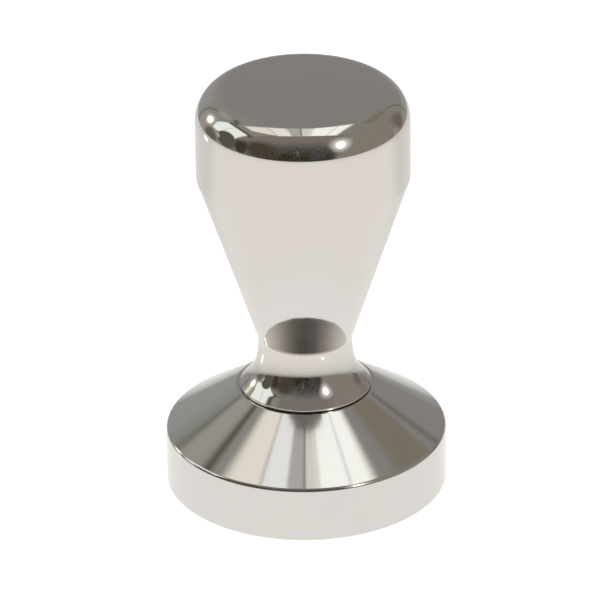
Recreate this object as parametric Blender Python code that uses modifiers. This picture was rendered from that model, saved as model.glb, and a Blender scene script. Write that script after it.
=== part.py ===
"""Espresso tamper: a turned steel base, a turned and polished handle, and the
stud and washer that join them.

The handle screws onto a stud that stands up from the base. Every piece lies
on the vertical axis of the tool, which is world Z. The flat tamping face is at
z = 0 and the origin is its centre.
"""

import math

import bmesh
import bpy

MM = 0.001

# ---------------------------------------------------------------- sizes, mm
# Names that end in _Z are heights above the tamping face.

# Base: the puck-shaped foot that presses the coffee.
BASE_R = 29.0            # for a 58 mm basket
BASE_BOTTOM_BREAK = 0.3  # edge break round the tamping face
BASE_RIM_ROUND = 1.05    # round between the side and the cone
BASE_CONE_FALL = 0.6544  # drop of the cone for each mm of radius
SEAT_Z = 21.25           # flat top of the cone, under the handle
SEAT_R = 14.4            # leaves a narrow ledge round the handle's foot

# Handle, lower part: foot, flare and waist.
SEAT_GAP = 0.3           # open seam between the seat and the foot
FOOT_Z = SEAT_Z + SEAT_GAP
FOOT_R = 13.66
FOOT_LIP = 0.3           # height of the foot's upright edge, breaks included
FOOT_BREAK = 0.1
FLARE_NEAR = 0.46        # how fast the flare opens just below the waist
FLARE_POWER = 4          # how sharply it opens further down
FLARE_CURVED = 0.892     # share of the flare's height that is curved
WAIST_ROUND = 5.0        # concave round between the cone and the waist

# Handle, upper part: cone, head and crown.
CONE_R = 9.87            # lower end of the straight cone
CONE_Z = 33.1
HEAD_R = 21.8
HEAD_CORNER_Z = 68.9     # cone meets the cylinder of the head
HEAD_CORNER_BREAK = 0.3
HEAD_TOP_Z = 81.3        # the cylinder ends and the rounded edge begins
CROWN_R = 14.9           # the rounded edge ends and the crown begins
CROWN_Z = 88.3
HEIGHT = 88.6            # highest point, at the middle of the crown

CONE_SLOPE = (HEAD_R - CONE_R) / (HEAD_CORNER_Z - CONE_Z)
CONE_LEAN = math.atan(CONE_SLOPE)  # radians from the axis
WAIST_CENTRE_R = CONE_R + WAIST_ROUND * math.cos(CONE_LEAN)
WAIST_Z = CONE_Z - WAIST_ROUND * math.sin(CONE_LEAN)
WAIST_R = WAIST_CENTRE_R - WAIST_ROUND

# Joining stud: M10 x 1.5 set screw, half its length above the seat.
PITCH = 1.5
ROOT_FLAT = PITCH / 4
CREST_FLAT = PITCH / 8
STUD_CREST_R = 4.90
STUD_ROOT_R = 4.08
STUD_LENGTH = 20.0
STUD_LOW_Z = SEAT_Z - STUD_LENGTH / 2
STUD_HIGH_Z = STUD_LOW_Z + STUD_LENGTH
STUD_END_BREAK = 1.0     # measured at the crest
STUD_BLANK_MARGIN = 0.4  # the blank is this much wider than the crest
KEY_FLATS = 5.0          # hex socket across flats
KEY_DEPTH = 5.0

# Tapped holes: the stud's thread moved out by the clearance.
THREAD_CLEARANCE = 0.2
DRILL_R = 4.2
DRILL_TIP = 2.4          # height of the drill's cone
HOLE_MOUTH_R = 5.6
HOLE_CHAMFER = HOLE_MOUTH_R - DRILL_R
BASE_TAP_DEPTH = 11.0    # below the seat
BASE_DRILL_DEPTH = 12.4
HANDLE_TAP_DEPTH = 12.0  # above the foot's underside
HANDLE_DRILL_DEPTH = 13.6

# Friction washer, in a recess under the foot.
WASHER_OUT_R = 10.0
WASHER_IN_R = 5.4
WASHER_THICKNESS = 0.85
WASHER_BREAK = 0.1
WASHER_SEAT_GAP = 0.2    # between the seat and the washer
RECESS_R = WASHER_OUT_R + 0.3
RECESS_DEPTH = 1.0

# How far the cutters run past the faces they cut.
CUTTER_OVERRUN = 2.0
STUD_THREAD_OVERRUN = 1.0

# Facets round a full turn.
BODY_STEPS = 72          # base and handle
WASHER_STEPS = 64
STUD_STEPS = 36
THREAD_STEPS = 24

# Tolerances, in metres.
TURN_MERGE = 1e-6
THREAD_MERGE = 1e-7
ON_PLANE = 1e-6


# ------------------------------------------------------------------ helpers
def material(name, colour, roughness, metallic):
    made = bpy.data.materials.new(name)
    made.use_nodes = True
    shader = made.node_tree.nodes["Principled BSDF"]
    shader.inputs["Base Color"].default_value = (*colour, 1.0)
    shader.inputs["Roughness"].default_value = roughness
    shader.inputs["Metallic"].default_value = metallic
    made.diffuse_color = (*colour, 1.0)
    return made


def collection(name):
    made = bpy.data.collections.new(name)
    bpy.context.scene.collection.children.link(made)
    return made


def empty(name, height, into, parent=None):
    made = bpy.data.objects.new(name, None)
    made.empty_display_type = "PLAIN_AXES"
    made.empty_display_size = 10 * MM
    made.location = (0, 0, height * MM)
    made.parent = parent
    into.objects.link(made)
    return made


def turned(name, profile, steps, origin_z, parent, into):
    """A piece turned about Z. The profile is (radius, height) pairs in mm. It
    runs from axis to axis, or round a closed loop if it starts off the axis.
    The mesh is lowered by origin_z, the height of the piece's own origin."""
    points = [(r * MM, 0.0, (z - origin_z) * MM) for r, z in profile]
    edges = [(i, i + 1) for i in range(len(points) - 1)]
    if profile[0][0] > 0:
        edges.append((len(points) - 1, 0))
    mesh = bpy.data.meshes.new(name)
    mesh.from_pydata(points, edges, [])

    made = bpy.data.objects.new(name, mesh)
    made.parent = parent
    into.objects.link(made)
    screw = made.modifiers.new("Turn", "SCREW")
    screw.axis = "Z"
    screw.angle = 2 * math.pi
    screw.steps = screw.render_steps = steps
    screw.use_merge_vertices = True
    screw.merge_threshold = TURN_MERGE
    screw.use_smooth_shade = True
    return made


def boolean(piece, operation, cutter):
    made = piece.modifiers.new(operation.title(), "BOOLEAN")
    made.operation = operation
    made.solver = "EXACT"
    made.object = cutter


def arc(centre, radii, first, last, count):
    """Points on an ellipse arc, from first to last degrees, without its start."""
    points = []
    for i in range(1, count + 1):
        angle = math.radians(first + (last - first) * i / count)
        points.append(
            (centre[0] + radii[0] * math.cos(angle), centre[1] + radii[1] * math.sin(angle))
        )
    return points


# ------------------------------------------------------------------ cutters
def finish_cutter(name, bm, into):
    """Turn a bmesh into an unrendered wire object, and free it."""
    mesh = bpy.data.meshes.new(name)
    bm.to_mesh(mesh)
    bm.free()
    made = bpy.data.objects.new(name, mesh)
    made.hide_render = True
    made.display_type = "WIRE"
    into.objects.link(made)
    return made


def cut_square(bm, height, way):
    """Slice the thread off at a height, in mm, and close it with a fan.
    The side that is cleared is above for way 1, below for way -1."""
    bmesh.ops.bisect_plane(
        bm,
        geom=bm.verts[:] + bm.edges[:] + bm.faces[:],
        plane_co=(0, 0, height * MM),
        plane_no=(0, 0, way),
        clear_outer=True,
    )
    rim = [
        edge for edge in bm.edges
        if edge.is_boundary
        and all(abs(vert.co.z - height * MM) < ON_PLANE for vert in edge.verts)
    ]
    centre = bm.verts.new((0, 0, height * MM))
    for edge in rim:
        bm.faces.new((edge.verts[0], edge.verts[1], centre))


def screw_thread(name, low, high, into, clearance=0.0):
    """A right-hand 60 degree threaded rod from low to high, flat at both ends.
    One pitch of the flank line is spun up the helix, welded to itself, and
    sliced off square. Starting on a whole pitch keeps all threads in step."""
    root_r = STUD_ROOT_R + clearance
    crest_r = STUD_CREST_R + clearance
    flank = (PITCH - ROOT_FLAT - CREST_FLAT) / 2
    start = math.floor(low / PITCH) - 2
    turns = math.ceil(high / PITCH) + 1 - start
    line = [
        (root_r, 0.0),
        (root_r, ROOT_FLAT),
        (crest_r, ROOT_FLAT + flank),
        (crest_r, ROOT_FLAT + flank + CREST_FLAT),
        (root_r, PITCH),
    ]
    bm = bmesh.new()
    verts = [bm.verts.new((r * MM, 0, (z + start * PITCH) * MM)) for r, z in line]
    edges = [bm.edges.new(pair) for pair in zip(verts[:-1], verts[1:])]
    bmesh.ops.spin(
        bm,
        geom=verts + edges,
        cent=(0, 0, 0),
        axis=(0, 0, 1),
        dvec=(0, 0, PITCH * MM / THREAD_STEPS),
        angle=2 * math.pi * turns,
        steps=THREAD_STEPS * turns,
    )
    bmesh.ops.remove_doubles(bm, verts=bm.verts[:], dist=THREAD_MERGE)
    cut_square(bm, low, -1)
    cut_square(bm, high, 1)
    bmesh.ops.recalc_face_normals(bm, faces=bm.faces[:])
    return finish_cutter(name, bm, into)


def key_socket(into):
    """A hexagonal prism, for the socket in the stud's upper end."""
    low = STUD_HIGH_Z - KEY_DEPTH
    high = STUD_HIGH_Z + CUTTER_OVERRUN
    corner_r = KEY_FLATS / math.sqrt(3) * MM
    bm = bmesh.new()
    bmesh.ops.create_cone(
        bm,
        cap_ends=True,
        segments=6,
        radius1=corner_r,
        radius2=corner_r,
        depth=(high - low) * MM,
    )
    bmesh.ops.translate(bm, vec=(0, 0, (high + low) / 2 * MM), verts=bm.verts[:])
    return finish_cutter("key_socket", bm, into)


# ----------------------------------------------------------------- profiles
def base_profile():
    """Hole in the seat, seat, cone, rim, straight side, tamping face."""
    drill_end = SEAT_Z - BASE_DRILL_DEPTH
    tilt = math.atan2(1, BASE_CONE_FALL)  # of the cone's normal above level
    rim_r = BASE_R - BASE_RIM_ROUND * (1 - math.cos(tilt))
    rim_z = SEAT_Z - BASE_CONE_FALL * (rim_r - SEAT_R)
    return [
        (0, drill_end - DRILL_TIP),
        (DRILL_R, drill_end),
        (DRILL_R, SEAT_Z - HOLE_CHAMFER),
        (HOLE_MOUTH_R, SEAT_Z),
        (SEAT_R, SEAT_Z),
        (rim_r, rim_z),
        *arc(
            centre=(BASE_R - BASE_RIM_ROUND, rim_z - BASE_RIM_ROUND * math.sin(tilt)),
            radii=(BASE_RIM_ROUND, BASE_RIM_ROUND),
            first=math.degrees(tilt), last=0, count=4,
        ),
        (BASE_R, BASE_BOTTOM_BREAK),
        (BASE_R - BASE_BOTTOM_BREAK, 0),
        (0, 0),
    ]


def flare_curve(count):
    """The flare from the waist down to the foot's edge. It opens slowly at
    first, then faster, and its last part is a straight cone."""
    low = FOOT_Z + FOOT_LIP
    drop = WAIST_Z - low
    end_rate = FLARE_NEAR * FLARE_CURVED + FLARE_CURVED ** FLARE_POWER
    points = []
    for i in range(1, count):
        down = i / count
        curved = min(down, FLARE_CURVED)
        out = FLARE_NEAR * curved ** 2 / 2 + curved ** (FLARE_POWER + 1) / (FLARE_POWER + 1)
        out += end_rate * (down - curved)
        points.append((WAIST_R + drop * out, WAIST_Z - drop * down))
    points.append((FOOT_R - FOOT_BREAK, low))
    return points


def handle_profile():
    """Crown, rounded edge, head, cone, waist, flared foot, recess, hole."""
    roof = FOOT_Z + RECESS_DEPTH
    drill_end = FOOT_Z + HANDLE_DRILL_DEPTH
    crown = [
        (CROWN_R * share, HEIGHT - (HEIGHT - CROWN_Z) * share ** 2)
        for share in (0, 0.33, 0.66, 1)
    ]
    return [
        *crown,
        *arc(
            centre=(CROWN_R, HEAD_TOP_Z),
            radii=(HEAD_R - CROWN_R, CROWN_Z - HEAD_TOP_Z),
            first=90, last=0, count=10,
        ),
        (HEAD_R, HEAD_CORNER_Z + HEAD_CORNER_BREAK),
        (HEAD_R - HEAD_CORNER_BREAK * CONE_SLOPE, HEAD_CORNER_Z - HEAD_CORNER_BREAK),
        (CONE_R, CONE_Z),
        *arc(
            centre=(WAIST_CENTRE_R, WAIST_Z),
            radii=(WAIST_ROUND, WAIST_ROUND),
            first=180 - math.degrees(CONE_LEAN), last=180, count=4,
        ),
        *flare_curve(12),
        (FOOT_R, FOOT_Z + FOOT_LIP - FOOT_BREAK),
        (FOOT_R, FOOT_Z + FOOT_BREAK),
        (FOOT_R - FOOT_BREAK, FOOT_Z),
        (RECESS_R, FOOT_Z),
        (RECESS_R, roof),
        (HOLE_MOUTH_R, roof),
        (DRILL_R, roof + HOLE_CHAMFER),
        (DRILL_R, drill_end),
        (0, drill_end + DRILL_TIP),
    ]


def stud_profile():
    """The stud's blank: wider than the thread, with its end chamfers."""
    wide = STUD_CREST_R + STUD_BLANK_MARGIN
    chamfer = STUD_END_BREAK + STUD_BLANK_MARGIN
    return [
        (0, STUD_HIGH_Z),
        (wide - chamfer, STUD_HIGH_Z),
        (wide, STUD_HIGH_Z - chamfer),
        (wide, STUD_LOW_Z + chamfer),
        (wide - chamfer, STUD_LOW_Z),
        (0, STUD_LOW_Z),
    ]


def washer_profile():
    """A flat ring, with its outer edges broken."""
    low = SEAT_Z + WASHER_SEAT_GAP
    high = low + WASHER_THICKNESS
    return [
        (WASHER_IN_R, high),
        (WASHER_OUT_R - WASHER_BREAK, high),
        (WASHER_OUT_R, high - WASHER_BREAK),
        (WASHER_OUT_R, low + WASHER_BREAK),
        (WASHER_OUT_R - WASHER_BREAK, low),
        (WASHER_IN_R, low),
    ]


# ------------------------------------------------------------------- pieces
def build_base(axis, parts, cutters):
    base = turned("base", base_profile(), BODY_STEPS, 0, axis, parts)
    tap = screw_thread(
        "base_tap", SEAT_Z - BASE_TAP_DEPTH, SEAT_Z + CUTTER_OVERRUN, cutters,
        clearance=THREAD_CLEARANCE,
    )
    boolean(base, "DIFFERENCE", tap)
    base.data.materials.append(
        material("turned_steel", colour=(0.62, 0.61, 0.59), roughness=0.22, metallic=1.0)
    )


def build_handle(axis, parts, cutters):
    handle_axis = empty("handle_axis", FOOT_Z, parts, axis)
    handle = turned("handle", handle_profile(), BODY_STEPS, FOOT_Z, handle_axis, parts)
    tap = screw_thread(
        "handle_tap", SEAT_Z - CUTTER_OVERRUN, FOOT_Z + HANDLE_TAP_DEPTH, cutters,
        clearance=THREAD_CLEARANCE,
    )
    boolean(handle, "DIFFERENCE", tap)
    handle.data.materials.append(
        material("polished_metal", colour=(0.66, 0.65, 0.63), roughness=0.05, metallic=1.0)
    )


def build_stud(axis, parts, cutters):
    stud = turned("joining_stud", stud_profile(), STUD_STEPS, STUD_LOW_Z, axis, parts)
    stud.location = (0, 0, STUD_LOW_Z * MM)
    thread = screw_thread(
        "stud_thread", STUD_LOW_Z - STUD_THREAD_OVERRUN, STUD_HIGH_Z + STUD_THREAD_OVERRUN,
        cutters,
    )
    boolean(stud, "INTERSECT", thread)
    boolean(stud, "DIFFERENCE", key_socket(cutters))
    stud.data.materials.append(
        material("stud_steel", colour=(0.50, 0.49, 0.47), roughness=0.3, metallic=1.0)
    )


def build_washer(axis, parts):
    washer_axis = empty("washer_axis", SEAT_Z, parts, axis)
    washer = turned(
        "friction_washer", washer_profile(), WASHER_STEPS, SEAT_Z, washer_axis, parts
    )
    washer.data.materials.append(
        material("washer_rubber", colour=(0.03, 0.03, 0.03), roughness=0.8, metallic=0.0)
    )


def main():
    for obj in list(bpy.data.objects):
        bpy.data.objects.remove(obj)

    parts = collection("espresso_tamper")
    cutters = collection("cutters")
    axis = empty("tamper_axis", 0, parts)
    build_base(axis, parts, cutters)
    build_handle(axis, parts, cutters)
    build_stud(axis, parts, cutters)
    build_washer(axis, parts)
    bpy.context.view_layer.update()


main()
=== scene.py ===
# A coffee tamper standing upright on its tamping face. Its axis is Z, the underside of
# the base is at z = 0, and a threaded stud joins the base to the handle, with a rubber
# washer beside it. The camera looks along +Y. Sizes of the pieces are in mm, those of
# the studio in m.
import math

import bmesh
import bpy
from mathutils import Matrix, Vector


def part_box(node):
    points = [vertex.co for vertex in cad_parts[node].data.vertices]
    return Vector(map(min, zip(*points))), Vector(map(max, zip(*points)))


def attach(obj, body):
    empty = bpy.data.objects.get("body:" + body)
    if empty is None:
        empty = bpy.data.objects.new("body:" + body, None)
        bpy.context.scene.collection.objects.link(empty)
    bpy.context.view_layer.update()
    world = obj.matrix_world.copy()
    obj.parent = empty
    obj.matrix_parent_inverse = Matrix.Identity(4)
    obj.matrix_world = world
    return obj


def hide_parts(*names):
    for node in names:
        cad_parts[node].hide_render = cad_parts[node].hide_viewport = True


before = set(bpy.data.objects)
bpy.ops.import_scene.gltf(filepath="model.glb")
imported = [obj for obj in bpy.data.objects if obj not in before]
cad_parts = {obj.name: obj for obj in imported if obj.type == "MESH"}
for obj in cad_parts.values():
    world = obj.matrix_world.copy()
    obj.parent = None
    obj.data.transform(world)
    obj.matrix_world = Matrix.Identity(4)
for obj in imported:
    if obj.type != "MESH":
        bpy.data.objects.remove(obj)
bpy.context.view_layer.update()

MM = 0.001

# ------------------------------------------------------- sizes from the CAD
BASE_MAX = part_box("base")[1] / MM
HANDLE_MIN, HANDLE_MAX = (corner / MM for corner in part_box("handle"))
STUD_MIN, STUD_MAX = (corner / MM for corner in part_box("joining_stud"))
WASHER_MIN, WASHER_MAX = (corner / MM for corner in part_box("friction_washer"))

BASE_R = BASE_MAX.x
SEAT_Z = BASE_MAX.z       # flat top of the base
FOOT_Z = HANDLE_MIN.z
TOP_Z = HANDLE_MAX.z
HEAD_R = HANDLE_MAX.x
STUD_R = STUD_MAX.x

# ------------------------------------------------------------- other sizes
LATHE_FACETS = 256        # round the base and the handle
STUD_FACETS = 96
WASHER_FACETS = 160
THREAD_FACETS = 64        # per turn
SHARP_ANGLE = 32          # degrees

LONG_RUN = 0.6            # straight runs longer than this get extra rings
RING_GAP = 3.0            # greatest distance between those rings
RING_INSET = 0.03         # from each end of the run to its first ring

PITCH = 1.5
THREAD_DEPTH = 0.82       # of the stud
TAP_DEPTH = 0.62          # of the tapped holes, inside the stud's radius
TAP_PLAY = 0.2            # outside the stud's radius
TAP_OVERRUN = 2           # how far a tap sticks out past the seat

HOLE_R = 4.2              # the holes for the stud, in base and handle
BEVEL = 1.4               # of the holes' mouths and the stud's ends
MOUTH_R = HOLE_R + BEVEL
TIP = 2.4                 # height of a hole's conical end

BASE_HOLE_DEPTH = 12.4
BASE_TAP_DEPTH = 11
SEAT_R = 14.4
BASE_FALL = 0.6544        # drop of the base's cone for each mm of radius
RIM_ROUND = 1.05
UNDER_BEVEL = 0.3

CROWN_R = 14.9
CROWN_RISE = 0.3          # of the slightly domed top
HEAD_DEPTH = 7.3          # from the top to the head's straight side
CORNER_Z = 68.9           # lower corner of the head
CORNER_RUN = 0.3          # length of cone included with that corner
CONE_R, CONE_Z = 9.93, 33.1     # lower end of the long cone
HOLLOW = 0.065            # how far the cone bows inward
WAIST_ROUND = 5.0
FLARE_CURVE = 0.441       # curvature where the flare starts
FLARE_STRAIGHT = 0.874    # share of its height after which the flare is a cone
FOOT_R = 13.66
FOOT_LIP = 0.3
FOOT_STEP = 0.13          # the outer ring of the foot lies this far below FOOT_Z
RECESS_R = 10.3
RECESS_DEPTH = 1.0
HANDLE_HOLE_DEPTH = 13.6
HANDLE_TAP_DEPTH = 12

STUD_MARGIN = 0.4         # blank's radius beyond the thread's
KEY_FLATS = 5.0           # width of the key socket across its flats
KEY_DEPTH = 5.0
KEY_OVERRUN = 2

WASHER_HOLE_R = 5.4
WASHER_ROUND = 0.18

CONE_SLOPE = (HEAD_R - CONE_R) / (CORNER_Z - CONE_Z)
CONE_TOP_R = HEAD_R - CONE_SLOPE * CORNER_RUN
CONE_TOP_Z = CORNER_Z - CORNER_RUN
CONE_RUN = CONE_TOP_Z - CONE_Z
# Slope angle at the hollow cone's lower end, where the waist's round takes over.
CONE_LEAN = math.atan(CONE_SLOPE) - 4 * HOLLOW / CONE_RUN
WAIST_CENTRE_R = CONE_R + WAIST_ROUND * math.cos(CONE_LEAN)
WAIST_Z = CONE_Z - WAIST_ROUND * math.sin(CONE_LEAN)


# ----------------------------------------------------------------- geometry
def arc(centre, radii, first, last, count):
    """Points on an ellipse, between two angles in degrees."""
    angles = [math.radians(first + (last - first) * i / count) for i in range(count + 1)]
    return [
        (centre[0] + radii[0] * math.cos(a), centre[1] + radii[1] * math.sin(a))
        for a in angles
    ]


def rounded(corners, steps):
    """A polyline whose corners (r, z, radius) are turned into small arcs. A
    corner of radius 0 stays sharp, and both ends must be so."""
    out = []
    for i, (r, z, size) in enumerate(corners):
        if size == 0:
            out.append((r, z))
            continue
        here = Vector((r, z))
        back = (Vector(corners[i - 1][:2]) - here).normalized()
        ahead = (Vector(corners[i + 1][:2]) - here).normalized()
        between = back.angle(ahead)
        reach = size / math.tan(between / 2)
        centre = here + (back + ahead).normalized() * (size / math.sin(between / 2))
        start = here + back * reach - centre
        end = here + ahead * reach - centre
        sweep = start.angle_signed(end)
        for k in range(steps + 1):
            cos, sin = math.cos(-sweep * k / steps), math.sin(-sweep * k / steps)
            out.append(
                (
                    centre.x + start.x * cos - start.y * sin,
                    centre.y + start.x * sin + start.y * cos,
                )
            )
    return out


def supported(points):
    """Splits each long straight run, and adds rings beside both its ends so
    that shading stays true to the shape."""
    out = [points[0]]
    for a, b in zip(points[:-1], points[1:]):
        length = math.dist(a, b)
        if length > LONG_RUN:
            parts = max(1, math.ceil(length / RING_GAP))
            shares = [RING_INSET / length] + [k / parts for k in range(1, parts)]
            shares += [1 - RING_INSET / length]
            out += [
                (a[0] + (b[0] - a[0]) * t, a[1] + (b[1] - a[1]) * t) for t in shares
            ]
        out.append(b)
    return out


def link_mesh(name, bm):
    mesh = bpy.data.meshes.new(name)
    bm.to_mesh(mesh)
    bm.free()
    made = bpy.data.objects.new(name, mesh)
    bpy.context.scene.collection.objects.link(made)
    return made


def lathe(name, profile, facets, closed=False):
    """Turns a (radius, height) profile about Z. An open profile starts and
    ends on the axis."""
    bm = bmesh.new()
    angles = [2 * math.pi * k / facets for k in range(facets)]
    turn = [(math.cos(a), math.sin(a)) for a in angles]
    rings = []
    for r, z in profile:
        if r < 1e-6:
            rings.append([bm.verts.new((0, 0, z * MM))])
        else:
            rings.append([bm.verts.new((r * c * MM, r * s * MM, z * MM)) for c, s in turn])
    pairs = list(zip(rings[:-1], rings[1:]))
    if closed:
        pairs.append((rings[-1], rings[0]))
    for a, b in pairs:
        for k in range(facets):
            n = (k + 1) % facets
            if len(a) == 1:
                bm.faces.new((a[0], b[k], b[n]))
            elif len(b) == 1:
                bm.faces.new((a[k], b[0], a[n]))
            else:
                bm.faces.new((a[k], b[k], b[n], a[n]))
    bmesh.ops.recalc_face_normals(bm, faces=bm.faces[:])
    return link_mesh(name, bm)


def cap_thread(bm, height, way):
    """Cuts the thread off flat at a height; way is +1 for its top end."""
    bmesh.ops.bisect_plane(
        bm, geom=bm.verts[:] + bm.edges[:] + bm.faces[:],
        plane_co=(0, 0, height * MM), plane_no=(0, 0, way), clear_outer=True,
    )
    rim = [
        e for e in bm.edges
        if e.is_boundary and all(abs(v.co.z - height * MM) < 1e-6 for v in e.verts)
    ]
    centre = bm.verts.new((0, 0, height * MM))
    for edge in rim:
        bm.faces.new((edge.verts[0], edge.verts[1], centre))


def threaded_rod(name, root_r, crest_r, low, high):
    """A right-hand threaded rod in step with the CAD's threads, with a flat
    root and a flat crest with eased edges."""
    flat_root, flat_crest = PITCH / 4, PITCH / 8
    flank = (PITCH - flat_root - flat_crest) / 2
    ease_r, ease_z = 0.05, 0.03
    crest_low = flat_root + flank
    crest_high = crest_low + flat_crest
    outline = [
        (root_r, 0.0),
        (root_r, flat_root),
        (crest_r - ease_r, crest_low - ease_z),
        (crest_r, crest_low),
        (crest_r, crest_high),
        (crest_r - ease_r, crest_high + ease_z),
        (root_r, PITCH),
    ]
    # whole turns from below the low end to above the high end
    start = math.floor(low / PITCH) - 2
    turns = math.ceil(high / PITCH) + 1 - start
    bm = bmesh.new()
    verts = [bm.verts.new((r * MM, 0, (z + start * PITCH) * MM)) for r, z in outline]
    edges = [bm.edges.new(pair) for pair in zip(verts[:-1], verts[1:])]
    bmesh.ops.spin(
        bm, geom=verts + edges, cent=(0, 0, 0), axis=(0, 0, 1),
        dvec=(0, 0, PITCH * MM / THREAD_FACETS), angle=2 * math.pi * turns,
        steps=THREAD_FACETS * turns,
    )
    bmesh.ops.remove_doubles(bm, verts=bm.verts[:], dist=1e-7)
    cap_thread(bm, low, -1)
    cap_thread(bm, high, 1)
    bmesh.ops.recalc_face_normals(bm, faces=bm.faces[:])
    return link_mesh(name, bm)


def hexagon(name, flats, low, high):
    """A hexagonal prism, the cutter for a key socket."""
    bm = bmesh.new()
    radius = flats / math.sqrt(3) * MM
    bmesh.ops.create_cone(
        bm, cap_ends=True, segments=6, radius1=radius, radius2=radius,
        depth=(high - low) * MM,
    )
    bmesh.ops.translate(bm, vec=(0, 0, (high + low) / 2 * MM), verts=bm.verts[:])
    return link_mesh(name, bm)


def cut(piece, cutter, operation="DIFFERENCE"):
    """Applies one Boolean and throws the cutter away."""
    step = piece.modifiers.new("cut", "BOOLEAN")
    step.operation = operation
    step.solver = "EXACT"
    step.object = cutter
    bpy.context.view_layer.update()
    graph = bpy.context.evaluated_depsgraph_get()
    done = bpy.data.meshes.new_from_object(piece.evaluated_get(graph))
    piece.modifiers.clear()
    old = piece.data
    piece.data = done
    done.name = piece.name
    bpy.data.meshes.remove(old)
    spent = cutter.data
    bpy.data.objects.remove(cutter)
    bpy.data.meshes.remove(spent)


def tap(piece, low, high):
    """Cuts the thread of a hole."""
    cut(piece, threaded_rod("tap", STUD_R - TAP_DEPTH, STUD_R + TAP_PLAY, low, high))


def finish_mesh(piece):
    piece.data.shade_smooth()
    piece.data.set_sharp_from_angle(angle=math.radians(SHARP_ANGLE))
    return piece


# --------------------------------------------------------------------- base
def make_base():
    """Hole, seat, cone, rounded rim, side and tamping face, in that order."""
    floor = SEAT_Z - BASE_HOLE_DEPTH
    tilt = math.atan2(1, BASE_FALL)
    rim_r = BASE_R - RIM_ROUND * (1 - math.cos(tilt))
    rim_z = SEAT_Z - BASE_FALL * (rim_r - SEAT_R)
    side_z = rim_z - RIM_ROUND * math.sin(tilt)
    profile = rounded(
        [
            (0, floor - TIP, 0),
            (HOLE_R, floor, 0),
            (HOLE_R, SEAT_Z - BEVEL, 0),
            (MOUTH_R, SEAT_Z, 0.06),
            (SEAT_R, SEAT_Z, 0.05),
            (rim_r, rim_z, 0),
        ],
        steps=4,
    )
    profile += arc(
        (BASE_R - RIM_ROUND, side_z), (RIM_ROUND, RIM_ROUND),
        first=math.degrees(tilt), last=0, count=24,
    )[1:]
    profile += rounded(
        [
            (BASE_R, side_z, 0),
            (BASE_R, UNDER_BEVEL, 0.12),
            (BASE_R - UNDER_BEVEL, 0, 0.12),
            (0, 0, 0),
        ],
        steps=4,
    )[1:]
    piece = lathe("tamper_base", supported(profile), LATHE_FACETS)
    tap(piece, SEAT_Z - BASE_TAP_DEPTH, SEAT_Z + TAP_OVERRUN)
    return finish_mesh(piece)


# ------------------------------------------------------------------- handle
def head_profile():
    """Domed crown, elliptical edge, straight side and lower corner."""
    crown_z, side_z = TOP_Z - CROWN_RISE, TOP_Z - HEAD_DEPTH
    steps = 14
    points = [
        (CROWN_R * i / steps, TOP_Z - CROWN_RISE * (i / steps) ** 2) for i in range(steps)
    ]
    points += arc(
        (CROWN_R, side_z), (HEAD_R - CROWN_R, crown_z - side_z),
        first=90, last=0, count=56,
    )
    corner = [(HEAD_R, side_z, 0), (HEAD_R, CORNER_Z, 0.9), (CONE_TOP_R, CONE_TOP_Z, 0)]
    return points + rounded(corner, steps=8)[1:]


def cone_profile():
    """The long cone, slightly hollow, and the round that leads to the waist."""
    steps = 16
    points = []
    for i in range(1, steps + 1):
        u = i / steps
        bow = 4 * HOLLOW * u * (1 - u)
        points.append(
            (CONE_TOP_R + (CONE_R - CONE_TOP_R) * u - bow, CONE_TOP_Z - CONE_RUN * u)
        )
    return points + arc(
        (WAIST_CENTRE_R, WAIST_Z), (WAIST_ROUND, WAIST_ROUND),
        first=180 - math.degrees(CONE_LEAN), last=180, count=24,
    )[1:]


def flare_profile():
    """From the waist out to the foot, ever steeper and then straight."""
    steps = 60
    height = WAIST_Z - (FOOT_Z + FOOT_LIP)
    end_slope = FLARE_CURVE * FLARE_STRAIGHT + FLARE_STRAIGHT ** 4
    points = []
    for i in range(1, steps + 1):
        u = i / steps
        curved = min(u, FLARE_STRAIGHT)
        out = FLARE_CURVE * curved ** 2 / 2 + curved ** 5 / 5 + end_slope * (u - curved)
        points.append((WAIST_CENTRE_R - WAIST_ROUND + height * out, WAIST_Z - height * u))
    return points


def foot_profile():
    """Edge of the foot, its stepped underside, the recess and the hole."""
    roof, end = FOOT_Z + RECESS_DEPTH, FOOT_Z + HANDLE_HOLE_DEPTH
    lip_z, step_z = FOOT_Z + FOOT_LIP, FOOT_Z - FOOT_STEP
    return rounded(
        [
            (FOOT_R - 0.1, lip_z, 0),
            (FOOT_R, lip_z - 0.06, 0.1),
            (FOOT_R, step_z, 0.05),
            (FOOT_R - 1.5, step_z, 0),
            (FOOT_R - 1.8, FOOT_Z, 0),
            (RECESS_R, FOOT_Z, 0.1),
            (RECESS_R, roof, 0),
            (MOUTH_R, roof, 0.05),
            (HOLE_R, roof + BEVEL, 0),
            (HOLE_R, end, 0),
            (0, end + TIP, 0),
        ],
        steps=4,
    )


def make_handle():
    profile = head_profile() + cone_profile() + flare_profile() + foot_profile()
    piece = lathe("tamper_handle", supported(profile), LATHE_FACETS)
    tap(piece, SEAT_Z - TAP_OVERRUN, FOOT_Z + HANDLE_TAP_DEPTH)
    return finish_mesh(piece)


# ---------------------------------------------------------- stud and washer
def make_stud():
    """A threaded rod bevelled at both ends, with a key socket in its top."""
    low, high = STUD_MIN.z, STUD_MAX.z
    wide = STUD_R + STUD_MARGIN
    blank = [
        (0, high), (wide - BEVEL, high), (wide, high - BEVEL),
        (wide, low + BEVEL), (wide - BEVEL, low), (0, low),
    ]
    piece = lathe("stud", blank, STUD_FACETS)
    rod = threaded_rod("rod", STUD_R - THREAD_DEPTH, STUD_R, low - 1, high + 1)
    cut(piece, rod, "INTERSECT")
    cut(piece, hexagon("key", KEY_FLATS, high - KEY_DEPTH, high + KEY_OVERRUN))
    return finish_mesh(piece)


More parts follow.
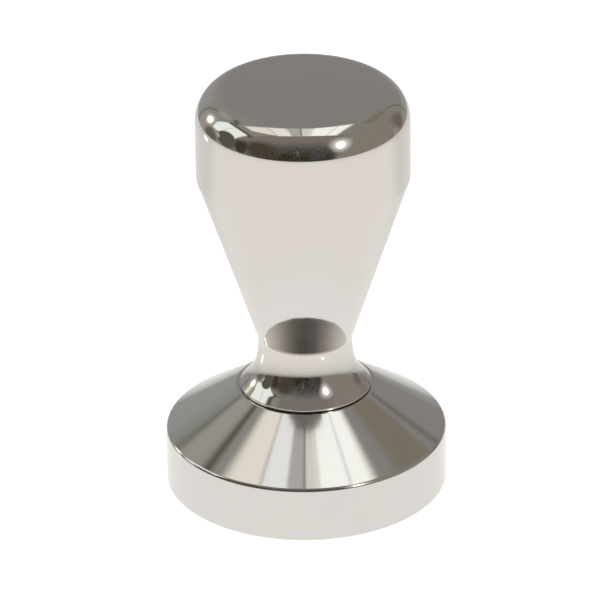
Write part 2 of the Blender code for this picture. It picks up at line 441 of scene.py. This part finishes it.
def make_washer():
    """A flat rubber ring with soft outer edges."""
    low, high = WASHER_MIN.z, WASHER_MAX.z
    profile = rounded(
        [
            (WASHER_HOLE_R, high, 0),
            (WASHER_MAX.x, high, WASHER_ROUND),
            (WASHER_MAX.x, low, WASHER_ROUND),
            (WASHER_HOLE_R, low, 0),
        ],
        steps=5,
    )
    return finish_mesh(lathe("washer", supported(profile), WASHER_FACETS, closed=True))


# ---------------------------------------------------------------- node kit
class Graph:
    """Short names for building node trees out of sums."""

    def __init__(self, tree):
        self.nodes = tree.nodes
        self.links = tree.links

    def add(self, kind, **settings):
        node = self.nodes.new(kind)
        for key, value in settings.items():
            setattr(node, key, value)
        return node

    def plug(self, socket, value):
        """Links a socket, or sets it to a number or an (r, g, b) colour."""
        if isinstance(value, bpy.types.NodeSocket):
            self.links.new(value, socket)
        elif isinstance(value, tuple):
            socket.default_value = (*value, 1.0)
        else:
            socket.default_value = value

    def math(self, operation, a, b=None):
        node = self.add("ShaderNodeMath", operation=operation)
        self.plug(node.inputs[0], a)
        if b is not None:
            self.plug(node.inputs[1], b)
        return node.outputs[0]

    def plus(self, a, b):
        return self.math("ADD", a, b)

    def minus(self, a, b):
        return self.math("SUBTRACT", a, b)

    def times(self, a, b):
        return self.math("MULTIPLY", a, b)

    def length(self, *sides):
        total, *others = [self.times(side, side) for side in sides]
        for square in others:
            total = self.plus(total, square)
        return self.math("SQRT", total)

    def split(self, vector):
        node = self.add("ShaderNodeSeparateXYZ")
        self.plug(node.inputs[0], vector)
        return tuple(node.outputs)

    def join(self, x, y, z=0.0):
        node = self.add("ShaderNodeCombineXYZ")
        for socket, value in zip(node.inputs, (x, y, z)):
            self.plug(socket, value)
        return node.outputs[0]

    def ramp(self, value, span, out=(0.0, 1.0), smooth=True):
        """Goes from out[0] to out[1] while value crosses the span."""
        node = self.add(
            "ShaderNodeMapRange",
            interpolation_type="SMOOTHSTEP" if smooth else "LINEAR",
        )
        names = ("Value", "From Min", "From Max", "To Min", "To Max")
        for name, number in zip(names, (value, *span, *out)):
            self.plug(node.inputs[name], number)
        return node.outputs["Result"]

    def fall(self, value, span):
        """1 before the span, 0 after it."""
        return self.ramp(value, span, out=(1.0, 0.0))

    def mix(self, share, first, second):
        node = self.add("ShaderNodeMix", data_type="RGBA", blend_type="MIX")
        self.plug(node.inputs["Factor"], share)
        colours = [s for s in node.inputs if s.type == "RGBA"]
        self.plug(colours[0], first)
        self.plug(colours[1], second)
        return [s for s in node.outputs if s.type == "RGBA"][0]

    def mix_shaders(self, share, first, second):
        node = self.add("ShaderNodeMixShader")
        for socket, value in zip(node.inputs, (share, first, second)):
            self.plug(socket, value)
        return node.outputs[0]

    def noise(self, at, scale, detail, rough, dimensions=3):
        """Noise at a vector, or along a number if dimensions is 1."""
        node = self.add("ShaderNodeTexNoise", noise_dimensions=f"{dimensions}D")
        self.plug(node.inputs["Vector" if dimensions == 3 else "W"], at)
        self.plug(node.inputs["Scale"], scale)
        self.plug(node.inputs["Detail"], detail)
        self.plug(node.inputs["Roughness"], rough)
        return node.outputs[0]

    def geometry(self, name):
        return self.add("ShaderNodeNewGeometry").outputs[name]

    def camera_ray(self):
        return self.add("ShaderNodeLightPath").outputs["Is Camera Ray"]


class Chart(Graph):
    """The room, painted in layers on a flat chart. Its middle is straight up,
    distance from the middle is the angle from straight up in degrees, and +Y
    is at the top. Masks take places and sizes in those degrees."""

    def __init__(self, tree, colour):
        super().__init__(tree)
        self.colour = colour
        toward = self.add("ShaderNodeTexCoord").outputs["Generated"]
        toward_x, toward_y, toward_z = self.split(toward)
        flat = self.math("MAXIMUM", self.length(toward_x, toward_y), 1e-5)
        self.down = self.times(self.math("ARCCOSINE", toward_z), 180 / math.pi)
        self.x = self.times(self.math("DIVIDE", toward_x, flat), self.down)
        self.y = self.times(self.math("DIVIDE", toward_y, flat), self.down)

    def paint(self, mask, look):
        self.colour = self.mix(mask, self.colour, look)

    def turned_axes(self, centre, degrees):
        cos, sin = math.cos(math.radians(degrees)), math.sin(math.radians(degrees))
        dx, dy = self.minus(self.x, centre[0]), self.minus(self.y, centre[1])
        u = self.plus(self.times(dx, cos), self.times(dy, sin))
        v = self.minus(self.times(dy, cos), self.times(dx, sin))
        return u, v

    def box(self, wide, high, soft, axes=None):
        """Between two x and two y values, with edges blurred by soft."""
        sides = [
            self.times(
                self.ramp(axis, (first - soft, first + soft)),
                self.fall(axis, (last - soft, last + soft)),
            )
            for axis, (first, last) in zip(axes or (self.x, self.y), (wide, high))
        ]
        return self.times(*sides)

    def oval(self, centre, radii, turn, fade):
        """Fades from 1 to 0 between two shares of the radii."""
        u, v = self.turned_axes(centre, turn)
        u, v = self.math("DIVIDE", u, radii[0]), self.math("DIVIDE", v, radii[1])
        return self.fall(self.length(u, v), fade)

    def strip(self, start, end, width, soft):
        """A straight band from start to end."""
        centre = ((start[0] + end[0]) / 2, (start[1] + end[1]) / 2)
        half, half_width = math.dist(start, end) / 2, width / 2
        angle = math.degrees(math.atan2(end[1] - start[1], end[0] - start[0]))
        axes = self.turned_axes(centre, angle)
        return self.box((-half, half), (-half_width, half_width), soft, axes)

    def paint_ovals(self, rows):
        """Rows hold centre, radii, turn in degrees, fade and sRGB colour."""
        for centre, radii, turn, fade, look in rows:
            self.paint(self.oval(centre, radii, turn, fade), seen(*look))


# --------------------------------------------------------------------- room
TINT = (0.70, 0.662, 0.625)  # what the polished metal gives back


def seen(*srgb):
    """The light that a polished surface has to meet to look like this sRGB
    colour, given as 0 to 255."""
    out = []
    for value, tint in zip(srgb, TINT):
        v = value / 255
        v = v / 12.92 if v <= 0.04045 else ((v + 0.055) / 1.055) ** 2.4
        out.append(v / tint)
    return tuple(out)


def paint_walls(room):
    x, y, down = room.x, room.y, room.down
    room.paint(room.ramp(x, (-32, -8)), seen(127, 121.5, 117))
    # low on the left wall, then low on the right wall
    for span, look in (((-12, -30), (138, 136, 132)), ((12, 30), (127, 121, 116))):
        low = room.times(room.ramp(down, (64, 78)), room.ramp(x, span))
        room.paint(low, seen(*look))
    # the horizon and below
    room.paint(room.ramp(down, (86, 92)), seen(138, 135, 131))
    right_side = room.times(room.ramp(x, (36, 44)), room.ramp(y, (36, 28)))
    room.paint(right_side, seen(127, 119, 110))
    room.paint_ovals([((72, 47), (17, 22), -38, (0.3, 1.2), (104, 96, 88))])


# From mid grey to near black behind the camera: y span, x span, sRGB colour.
DARK_STEPS = (
    ((-20, -14), (36, 46), (116, 108, 103)),
    ((-62, -30), (38, 50), (82, 79, 76)),
    ((-84, -52), (46, 60), (58, 54, 46)),
)

# Ovals: centre, radii, turn, fade, sRGB colour.
DARK_OVALS = (
    ((-55, -52), (26, 26), 0, (0.5, 1.2), (70, 60, 51)),
    ((22, -80), (14, 16), 0, (0.4, 1.2), (66, 66, 68)),
    ((-26, -84), (13, 12), 0, (0.3, 1.2), (44, 41, 29)),
    ((-8, -75), (3.0, 9), 0, (0.2, 1.2), (104, 102, 88)),
    ((4, -92), (12, 5), 0, (0.3, 1.2), (42, 36, 30)),
)
LEFT_OVALS = (
    ((-82, -6), (22, 20), 0, (0.8, 1.15), (88, 84, 74)),
    ((-78, -32), (20, 12), 25, (0.6, 1.2), (58, 52, 42)),
    ((-86, 38), (12, 26), -24, (0.6, 1.15), (96, 92, 80)),
    ((-72, 60), (12, 16), -30, (0.5, 1.2), (146, 138, 130)),
    ((-40, 33.5), (6, 9.5), 0, (0.4, 1.3), (147, 142, 130)),
)
# A dark disc over the window's left end, and a pale spot beside it.
WINDOW_OVALS = (
    ((-82, -1), (17.5, 17.5), 0, (0.9, 1.1), (82, 78, 68)),
    ((-84, 14), (6, 3.5), 30, (0.3, 1.2), (176, 172, 156)),
)

# Panes of the light panel, from left to right: x range, soft edge, sRGB colour.
PANES = (
    ((-18.65, -8.2), 0.8, (223, 220, 215)),
    ((-8.2, -1.0), 0.9, (166, 162, 157)),
    ((-0.8, 3.6), 0.7, (204, 200, 188)),
    ((3.6, 5.4), 0.7, (211, 207, 197)),
    ((5.8, 40), 0.9, (243, 240, 232)),
)
# Bars across the panel: x, half width, sRGB colour.
BARS = (
    (-18.65, 0.7, (184, 177, 168)),
    (-1.05, 0.5, (112, 108, 98)),
    (17.65, 0.6, (206, 203, 197)),
)
PANEL_DEPTH = (-30, 30)   # y range that covers the whole panel


def paint_dark_side(room):
    x, y = room.x, room.y
    for y_span, x_span, look in DARK_STEPS:
        room.paint(room.times(room.fall(y, y_span), room.fall(x, x_span)), seen(*look))
    room.paint_ovals(DARK_OVALS)
    # small clutter low down, first dark and then pale
    spot = room.join(room.times(x, 0.42), room.times(y, 0.2))
    fine = room.noise(spot, scale=1.0, detail=4.0, rough=0.75)
    low_down = room.times(room.fall(y, (-66, -48)), room.fall(x, (30, 44)))
    for span, look in (((0.47, 0.38), (24, 22, 16)), ((0.55, 0.68), (128, 121, 100))):
        room.paint(room.times(low_down, room.ramp(fine, span)), seen(*look))


def paint_bands(room):
    """The dark band between window and panel, then the room's corners."""
    band = room.box(wide=(-49.5, -43), high=(-19, 19), soft=1.6)
    room.paint(band, seen(84, 79, 66))
    band = room.strip(start=(-42, 13.7), end=(-33, 24.7), width=4.5, soft=2.2)
    room.paint(band, seen(88, 82, 70))
    corner = room.strip(start=(-63.75, 80), end=(-40, 43), width=4.0, soft=2.0)
    room.paint(corner, seen(110, 109, 100))
    corner = room.box(wide=(33, 44), high=(14, 39), soft=3.0)
    room.paint(corner, seen(117, 109, 96))
    corner = room.strip(start=(59.3, 76), end=(38.5, 42.5), width=2.2, soft=1.8)
    room.paint(corner, seen(98, 90, 84))


def paint_panel(room):
    """The light panel overhead, in unequal panes."""
    x, y = room.x, room.y
    panel = room.box(wide=(-35.2, 60), high=(-17, 40), soft=1.2)
    panel = room.times(panel, room.fall(x, (23.5, 28.6)))
    # the far edge slants away on the right
    slant = room.times(room.math("MAXIMUM", x, 0.0), 0.14)
    panel = room.times(panel, room.fall(room.minus(y, slant), (7.7, 13.6)))
    # the near left corner is cut off
    corner = room.plus(room.times(x, 1.0), room.times(y, 1.1))
    panel = room.times(panel, room.ramp(corner, (-38.5, -36.0)))
    room.paint(panel, seen(222, 212, 199))
    for wide, soft, look in PANES:
        room.paint(room.times(panel, room.box(wide, PANEL_DEPTH, soft)), seen(*look))
    for at, half, look in BARS:
        bar = room.box((at - half, at + half), PANEL_DEPTH, soft=0.45)
        room.paint(room.times(panel, bar), seen(*look))


def paint_window(room):
    """The window at the left, with a bar across it."""
    window = room.box(wide=(-76, -47.5), high=(-13.5, 24), soft=1.6)
    top = room.strip(start=(-75, 24), end=(-52, 22), width=13, soft=2.0)
    window = room.math("MAXIMUM", window, top)
    slant = room.plus(room.times(room.x, 0.75), room.y)
    window = room.times(window, room.fall(slant, (-17.5, -13.5)))
    room.paint(window, seen(228, 230, 224))
    bar = room.strip(start=(-66, 9.5), end=(-48, 7), width=1.0, soft=0.8)
    room.paint(room.times(window, bar), seen(176, 178, 170))
    room.paint_ovals(WINDOW_OVALS)


def paint_lamps(room):
    """Two lamps, each with a soft halo."""
    left, right = (-64, 42), (42, -45)
    halo = room.oval(left, radii=(17, 15), turn=0, fade=(0.2, 1.0))
    room.paint(halo, seen(190, 182, 160))
    core = room.oval(left, radii=(6.5, 6.5), turn=0, fade=(0.7, 1.25))
    room.paint(core, (2.4, 2.3, 2.1))
    halo = room.oval(right, radii=(18, 29), turn=22, fade=(0.05, 1.0))
    room.paint(room.times(halo, 0.95), seen(236, 228, 216))
    core = room.oval(right, radii=(5.6, 10.4), turn=22, fade=(0.6, 1.25))
    room.paint(core, (3.4, 3.25, 3.1))


def build_world():
    """A plain room: grey walls, a light panel overhead, a window at the left,
    two lamps, and a dark side behind the camera, which itself sees white."""
    world = bpy.data.worlds.new("studio")
    bpy.context.scene.world = world
    world.use_nodes = True
    world.node_tree.nodes.clear()
    room = Chart(world.node_tree, colour=seen(131, 128, 122))
    paint_walls(room)
    paint_dark_side(room)
    room.paint_ovals(LEFT_OVALS)
    paint_bands(room)
    paint_panel(room)
    paint_window(room)
    paint_lamps(room)
    room.paint(room.camera_ray(), (0.97, 0.97, 0.97))
    shader = room.add("ShaderNodeBackground")
    room.plug(shader.inputs["Color"], room.colour)
    out = room.add("ShaderNodeOutputWorld")
    room.plug(out.inputs[0], shader.outputs[0])


# -------------------------------------------------------------------- table
# How much a polished face sees of the room mirrored in the table instead of its
# white: sine of the ray's angle to the table, share.
MIRROR_SHARES = (
    (0.0, 1.0), (0.055, 0.91), (0.095, 0.67), (0.156, 0.32),
    (0.215, 0.2), (0.276, 0.11), (0.33, 0.06), (0.42, 0.0),
)
# Directions from the table in which a lamp's glint shows.
LEFT_GLINT = (-0.600, 0.643, 0.476)
RIGHT_GLINT = (0.782, -0.5135, 0.3535)


def emission(g, colour, strength):
    node = g.add("ShaderNodeEmission")
    g.plug(node.inputs["Color"], colour)
    g.plug(node.inputs["Strength"], strength)
    return node.outputs[0]


def paper_for_camera(g, position):
    """Plain white with a faint grain, and a matte part that takes shadows."""
    grain = g.noise(position, scale=900.0, detail=4.0, rough=0.6)
    tone = g.ramp(grain, span=(0.3, 0.7), out=(0.985, 1.0), smooth=False)
    white = g.mix(tone, (0.95, 0.95, 0.95), (1.0, 0.998, 0.99))
    matte = g.add("ShaderNodeBsdfDiffuse")
    g.plug(matte.inputs["Color"], (0.5, 0.5, 0.5))
    both = g.add("ShaderNodeAddShader")
    g.plug(both.inputs[0], emission(g, white, strength=0.8))
    g.plug(both.inputs[1], matte.outputs[0])
    return both.outputs[0]


def paper_for_mirrors(g, y, radius):
    """White from above, and at grazing angles a dim mirror of the room."""
    toward = g.split(g.geometry("Incoming"))
    glance = g.add("ShaderNodeValToRGB")
    g.plug(glance.inputs[0], g.math("ABSOLUTE", toward[2]))
    stops = glance.color_ramp.elements
    for position, _ in MIRROR_SHARES[1:-1]:
        stops.new(position)
    for stop, (position, share) in zip(stops, MIRROR_SHARES):
        stop.position = position
        stop.color = (share, share, share, 1.0)
    dim, dark = (0.285, 0.292, 0.292), (0.06, 0.058, 0.054)
    room = g.mix(g.ramp(toward[1], span=(-0.5, 0.3)), dim, dark)
    # greyer toward the far side
    near, far = (1.0, 0.99, 0.975), (0.83, 0.825, 0.815)
    white = g.mix(g.ramp(y, span=(0.02, 0.09)), near, far)
    # brighter when seen from steeply above, close to the tamper
    steep = g.times(
        g.ramp(g.math("ABSOLUTE", toward[2]), span=(0.6, 0.8)),
        g.fall(radius, span=(0.034, 0.054)),
    )
    white = g.mix(steep, white, (1.025, 1.035, 1.05))
    colour = g.mix(glance.outputs[0], white, room)
    # the left lamp's glint shows only in a ring of the table round the tamper
    ring = g.times(g.ramp(radius, span=(0.052, 0.056)), g.fall(radius, span=(0.082, 0.086)))
    for direction, gate in ((LEFT_GLINT, ring), (RIGHT_GLINT, 1.0)):
        apart = g.length(*(g.minus(axis, value) for axis, value in zip(toward, direction)))
        glint = g.times(g.fall(apart, span=(0.035, 0.075)), gate)
        colour = g.mix(glint, colour, (2.4, 2.35, 2.25))
    return emission(g, colour, strength=1.0)


def white_paper():
    """Past about 0.38 m only the camera sees the paper, so polished faces show
    the table's edge and the room beyond. Nothing sees it from below, so the
    underside of the tamper can be looked at."""
    paper = bpy.data.materials.new("white_paper")
    paper.use_nodes = True
    paper.node_tree.nodes.clear()
    g = Graph(paper.node_tree)
    position = g.geometry("Position")
    x, y, _ = g.split(position)
    radius = g.length(x, y)
    camera = g.camera_ray()
    looks = g.mix_shaders(
        camera, paper_for_mirrors(g, y, radius), paper_for_camera(g, position)
    )
    keep = g.math("MAXIMUM", camera, g.fall(radius, span=(0.365, 0.395)))
    keep = g.times(keep, g.minus(1.0, g.geometry("Backfacing")))
    clear = g.add("ShaderNodeBsdfTransparent").outputs[0]
    out = g.add("ShaderNodeOutputMaterial")
    g.plug(out.inputs[0], g.mix_shaders(keep, clear, looks))
    return paper


def build_table():
    bm = bmesh.new()
    bmesh.ops.create_grid(bm, x_segments=24, y_segments=24, size=3.0)
    table = link_mesh("table_top", bm)
    table.location.z = -0.00002    # just clear of the tamping face
    table.data.materials.append(white_paper())


# --------------------------------------------------------- light and camera
def build_light():
    """One wide soft light for the table. Polished metal doesn't show it."""
    lamp = bpy.data.lights.new("soft_top", "AREA")
    lamp.shape = "DISK"
    lamp.size = 1.6
    lamp.energy = 9.0
    soft = bpy.data.objects.new("soft_top", lamp)
    place = Vector((-0.35, -0.25, 1.5))
    soft.location = place
    soft.rotation_euler = (-place).to_track_quat("-Z", "Y").to_euler()
    soft.visible_glossy = False
    soft.visible_camera = False
    bpy.context.scene.collection.objects.link(soft)


def build_camera():
    """A long lens 1.16 m away, looking 27 degrees down, with a little roll."""
    place = Vector((-0.000971, -1.03835, 0.56964))
    tilt, roll = math.radians(27.012), -0.01222
    ahead = Vector((0, math.cos(tilt), -math.sin(tilt)))
    up = Vector((0, math.sin(tilt), math.cos(tilt)))
    side = Vector((1, 0, 0))
    right = side * math.cos(roll) + up * math.sin(roll)
    top = up * math.cos(roll) - side * math.sin(roll)
    data = bpy.data.cameras.new("camera")
    data.sensor_width = 36.0
    data.lens = 341.148
    data.clip_start, data.clip_end = 0.05, 50
    camera = bpy.data.objects.new("camera", data)
    turn = Matrix((right, top, -ahead)).transposed().to_4x4()
    camera.matrix_world = Matrix.Translation(place) @ turn
    bpy.context.scene.collection.objects.link(camera)
    bpy.context.scene.camera = camera


# ---------------------------------------------------------------- materials
def start_material(name, metallic=1.0):
    """Gives the material, its graph and shader, and the place in mm."""
    made = bpy.data.materials.new(name)
    made.use_nodes = True
    g = Graph(made.node_tree)
    shader = g.nodes["Principled BSDF"]
    g.plug(shader.inputs["Metallic"], metallic)
    scale = g.add("ShaderNodeVectorMath", operation="SCALE")
    g.plug(scale.inputs[0], g.add("ShaderNodeTexCoord").outputs["Object"])
    g.plug(scale.inputs["Scale"], 1 / MM)
    return made, g, shader, scale.outputs[0]


def bump(g, shader, height, distance):
    node = g.add("ShaderNodeBump")
    g.plug(node.inputs["Strength"], 1.0)
    g.plug(node.inputs["Distance"], distance)
    g.plug(node.inputs["Height"], height)
    g.plug(shader.inputs["Normal"], node.outputs[0])


def handle_pits(g, mm):
    """One small dot in some of the cells of a coarse net."""
    pitted_from = 0.62    # cells whose random number is above this have a pit
    largest = 0.034       # pit radius, in cells
    cells = g.add("ShaderNodeTexVoronoi", feature="F1")
    g.plug(cells.inputs["Vector"], mm)
    g.plug(cells.inputs["Scale"], 0.19)
    colour = g.add("ShaderNodeSeparateColor")
    g.plug(colour.inputs[0], cells.outputs["Color"])
    pick = colour.outputs[0]
    size = g.times(g.ramp(pick, span=(pitted_from, 1.0)), largest)
    dot = g.fall(g.minus(cells.outputs["Distance"], size), span=(-0.012, 0.006))
    return g.times(dot, g.ramp(pick, span=(pitted_from, pitted_from + 0.02)))


def polished_handle():
    """Mirror polish with a little wave in it, faint wipe marks and a few pits."""
    made, g, shader, mm = start_material("mirror_polished_metal")
    x, y, z = g.split(mm)
    radius = g.length(x, y)
    angle = g.math("ARCTAN2", y, x)
    wave = g.noise(mm, scale=0.16, detail=1.5, rough=0.4)
    # wipe marks run round the handle, so the chart is stretched along the angle
    around = g.join(g.times(angle, 2.2), g.times(radius, 0.4), g.times(z, 9.0))
    wipe = g.noise(around, scale=1.6, detail=5.0, rough=0.65)
    cloud = g.noise(mm, scale=0.11, detail=3.0, rough=0.6)
    pit = handle_pits(g, mm)
    metal = g.mix(cloud, (0.712, 0.672, 0.634), (0.688, 0.652, 0.616))
    g.plug(shader.inputs["Base Color"], g.mix(pit, metal, (0.16, 0.14, 0.12)))
    rough = g.ramp(wipe, span=(0.35, 0.8), out=(0.028, 0.062))
    g.plug(shader.inputs["Roughness"], g.plus(rough, g.times(pit, 0.35)))
    # the wave is strongest, wipe marks hardly stand out, and pits go in
    height = g.minus(g.plus(wave, g.times(wipe, 0.004)), g.times(pit, 1.2))
    bump(g, shader, height, distance=0.000012)
    return made


def turned_base():
    """Bright turned steel: a close mirror along the cut, with fine rings."""
    made, g, shader, mm = start_material("bright_turned_steel")
    x, y, z = g.split(mm)
    radius = g.length(x, y)
    angle = g.math("ARCTAN2", y, x)
    # distance along the cut surface: across the flat and conical faces it is
    # the radius, down the side it is the height, moved on by 40 mm
    on_side = g.ramp(radius, span=(BASE_R - 0.1, BASE_R - 0.02))
    path = g.plus(
        g.times(radius, g.minus(1.0, on_side)),
        g.times(g.plus(z, 40.0), on_side),
    )
    ring = g.noise(path, scale=7.0, detail=3.0, rough=0.7, dimensions=1)
    broad = g.noise(path, scale=0.9, detail=2.0, rough=0.5, dimensions=1)
    under = g.fall(z, span=(0.02, 0.06))
    drift = g.noise(mm, scale=0.09, detail=2.0, rough=0.5)
    streak = g.join(g.times(angle, 3.0), g.times(path, 5.0))
    fine = g.noise(streak, scale=2.0, detail=4.0, rough=0.7)
    metal = g.mix(drift, (0.715, 0.69, 0.66), (0.69, 0.668, 0.642))
    g.plug(shader.inputs["Base Color"], metal)
    rough = g.ramp(fine, span=(0.3, 0.8), out=(0.07, 0.1))
    # the rounded rim is smoother, the underside rougher
    rim = g.times(
        g.ramp(radius, span=(BASE_R - 0.75, BASE_R - 0.6)), g.ramp(z, span=(9.8, 10.1))
    )
    rough = g.times(rough, g.minus(1.0, g.times(rim, 0.6)))
    g.plug(shader.inputs["Roughness"], g.plus(rough, g.times(under, 0.12)))
    g.plug(shader.inputs["Anisotropic"], 0.72)
    g.plug(shader.inputs["Anisotropic Rotation"], 0.25)
    around = g.add("ShaderNodeTangent", direction_type="RADIAL", axis="Z")
    g.plug(shader.inputs["Tangent"], around.outputs[0])
    # rings are much deeper on the underside than elsewhere
    ring_depth = g.plus(0.5, g.times(under, 5.0))
    swell = g.plus(g.times(broad, 1.0), g.times(drift, 3.0))
    bump(g, shader, g.plus(g.times(ring, ring_depth), swell), distance=0.0000011)
    return made


def machined_bore():
    """Cut faces out of sight: drilled and tapped, not polished."""
    made, g, shader, mm = start_material("machined_metal")
    x, y, z = g.split(mm)
    path = g.plus(g.length(x, y), g.times(z, 1.7))
    ring = g.noise(path, scale=5.0, detail=4.0, rough=0.7, dimensions=1)
    cloud = g.noise(mm, scale=0.8, detail=3.0, rough=0.6)
    metal = g.mix(cloud, (0.58, 0.56, 0.53), (0.48, 0.46, 0.44))
    g.plug(shader.inputs["Base Color"], metal)
    rough = g.ramp(ring, span=(0.3, 0.75), out=(0.24, 0.42))
    g.plug(shader.inputs["Roughness"], rough)
    bump(g, shader, ring, distance=0.000008)
    return made


def stud_steel():
    """Rolled stainless thread, with painted shade in its roots that leaves the crests
    brighter.
    """
    made, g, shader, mm = start_material("stud_stainless")
    x, y, z = g.split(mm)
    radius = g.length(x, y)
    angle = g.math("ARCTAN2", y, x)
    cloud = g.noise(mm, scale=0.7, detail=4.0, rough=0.6)
    streak = g.join(g.times(angle, 6.0), g.times(z, 6.0), g.times(radius, 8.0))
    drag = g.noise(streak, scale=1.3, detail=4.0, rough=0.7)
    # painted shade: the base colour is dark in the thread's roots and bright on its crests
    crest = g.ramp(radius, span=(STUD_R - 0.7, STUD_R - 0.05))
    metal = g.mix(crest, (0.40, 0.385, 0.36), (0.60, 0.585, 0.56))
    metal = g.mix(g.times(cloud, 0.35), metal, (0.34, 0.33, 0.32))
    g.plug(shader.inputs["Base Color"], metal)
    rough = g.ramp(drag, span=(0.25, 0.8), out=(0.20, 0.38))
    g.plug(shader.inputs["Roughness"], rough)
    bump(g, shader, drag, distance=0.00001)
    return made


def black_rubber():
    """Moulded rubber: nearly black, dull, with a fine grain and pale dust."""
    made, g, shader, mm = start_material("black_rubber", metallic=0.0)
    grain = g.noise(mm, scale=9.0, detail=4.0, rough=0.65)
    dust = g.noise(mm, scale=1.1, detail=5.0, rough=0.7)
    dusty = g.ramp(dust, span=(0.45, 0.8))
    colour = g.mix(dusty, (0.022, 0.022, 0.023), (0.06, 0.058, 0.055))
    g.plug(shader.inputs["Base Color"], colour)
    rough = g.ramp(grain, span=(0.3, 0.7), out=(0.62, 0.85))
    g.plug(shader.inputs["Roughness"], rough)
    g.plug(shader.inputs["Specular IOR Level"], 0.35)
    bump(g, shader, grain, distance=0.00003)
    return made


# -------------------------------------------------------------------- build
def mark_bored(piece, test):
    """Gives the second material to faces whose centre (r, z) passes the test."""
    for face in piece.data.polygons:
        centre = face.center / MM
        if test(math.hypot(centre.x, centre.y), centre.z):
            face.material_index = 1


def dress(piece, body, node, slot, *materials):
    piece.data.materials.clear()
    for made in materials:
        piece.data.materials.append(made)
    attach(piece, body)
    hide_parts(node)


bore = machined_bore()
NEAR_HOLE_R = MOUTH_R + 0.1

base = make_base()
dress(base, "base", "base", "turned_steel", turned_base(), bore)
mark_bored(base, lambda r, z: r < NEAR_HOLE_R and 1.0 < z < SEAT_Z - 0.001)

handle = make_handle()
dress(handle, "handle", "handle", "polished_metal", polished_handle(), bore)
mark_bored(
    handle,
    lambda r, z: (r < NEAR_HOLE_R and z < FOOT_Z + 16.5)
    or (r < RECESS_R + 0.05 and z < FOOT_Z + RECESS_DEPTH + 0.05),
)

dress(make_stud(), "base", "joining_stud", "stud_steel", stud_steel())
dress(make_washer(), "washer", "friction_washer", "black_rubber", black_rubber())

build_world()
build_table()
build_light()
build_camera()

view = bpy.context.scene.view_settings
view.view_transform = "Standard"
view.look = "None"
view.exposure = 0.0
view.gamma = 1.0
